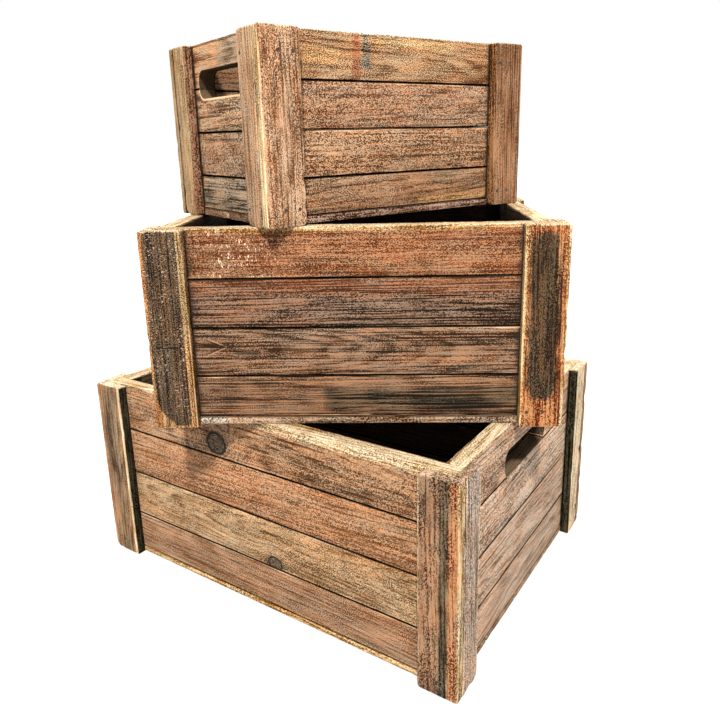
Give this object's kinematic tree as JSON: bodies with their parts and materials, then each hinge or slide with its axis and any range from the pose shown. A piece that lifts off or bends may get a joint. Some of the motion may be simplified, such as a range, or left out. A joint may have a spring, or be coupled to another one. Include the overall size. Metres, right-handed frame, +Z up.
{
  "type": "nesting slatted crate set",
  "caption": "Set of rustic wooden crates with slatted walls, corner battens and rounded hand holes in both ends, stacked and turned on one another.",
  "frame": {"origin": "middle of the large crate's underside, on the surface it stands on", "axes": "+X along the large crate's long side, towards its right end; -Y towards its front side; +Z up. The medium crate is turned 31 degrees and the small one 69.5 degrees anticlockwise about +Z, seen from above"},
  "size_m": [0.4898, 0.422, 0.565],
  "materials": {
    "large_slats": "stained, sanded and weathered fir",
    "large_battens": "stained, sanded and weathered fir, edges worn light",
    "medium_slats": "stained, sanded and weathered fir",
    "medium_battens": "stained, sanded and weathered fir, edges worn light",
    "small_slats": "stained, sanded and weathered fir",
    "small_battens": "stained, sanded and weathered fir, edges worn light",
    "base_boards": "stained fir",
    "nails": "dulled steel"
  },
  "bodies": {
    "large_crate": {"large_front_slat_1": "large_slats", "large_front_slat_2": "large_slats", "large_front_slat_3": "large_slats", "large_front_slat_4": "large_slats", "large_back_slat_1": "large_slats", "large_back_slat_2": "large_slats", "large_back_slat_3": "large_slats", "large_back_slat_4": "large_slats", "large_left_end_slat_1": "large_slats", "large_left_end_slat_2": "large_slats", "large_left_end_lower_slats": "large_slats", "large_right_end_slat_1": "large_slats", "large_right_end_slat_2": "large_slats", "large_right_end_lower_slats": "large_slats", "large_front_left_post": "large_battens", "large_front_right_post": "large_battens", "large_back_left_post": "large_battens", "large_back_right_post": "large_battens", "large_base_boards": "base_boards", "large_nails": "nails"},
    "medium_crate": {"medium_front_slat_1": "medium_slats", "medium_front_slat_2": "medium_slats", "medium_front_slat_3": "medium_slats", "medium_front_slat_4": "medium_slats", "medium_back_slat_1": "medium_slats", "medium_back_slat_2": "medium_slats", "medium_back_slat_3": "medium_slats", "medium_back_slat_4": "medium_slats", "medium_left_end_slat_1": "medium_slats", "medium_left_end_slat_2": "medium_slats", "medium_left_end_lower_slats": "medium_slats", "medium_right_end_slat_1": "medium_slats", "medium_right_end_slat_2": "medium_slats", "medium_right_end_lower_slats": "medium_slats", "medium_front_left_post": "medium_battens", "medium_front_right_post": "medium_battens", "medium_back_left_post": "medium_battens", "medium_back_right_post": "medium_battens", "medium_base_boards": "base_boards", "medium_nails": "nails"},
    "small_crate": {"small_front_slat_1": "small_slats", "small_front_slat_2": "small_slats", "small_front_slat_3": "small_slats", "small_front_slat_4": "small_slats", "small_back_slat_1": "small_slats", "small_back_slat_2": "small_slats", "small_back_slat_3": "small_slats", "small_back_slat_4": "small_slats", "small_left_end_slat_1": "small_slats", "small_left_end_slat_2": "small_slats", "small_left_end_lower_slats": "small_slats", "small_right_end_slat_1": "small_slats", "small_right_end_slat_2": "small_slats", "small_right_end_lower_slats": "small_slats", "small_front_left_post": "small_battens", "small_front_right_post": "small_battens", "small_back_left_post": "small_battens", "small_back_right_post": "small_battens", "small_base_boards": "base_boards", "small_nails": "nails"}
  },
  "joints": [
    {"name": "medium_lift", "type": "slide", "parent": "large_crate", "child": "medium_crate", "axis": [0, 0, 1], "range_m": [0, 0.12]},
    {"name": "small_lift", "type": "slide", "parent": "medium_crate", "child": "small_crate", "axis": [0, 0, 1], "range_m": [0, 0.12]}
  ]
}
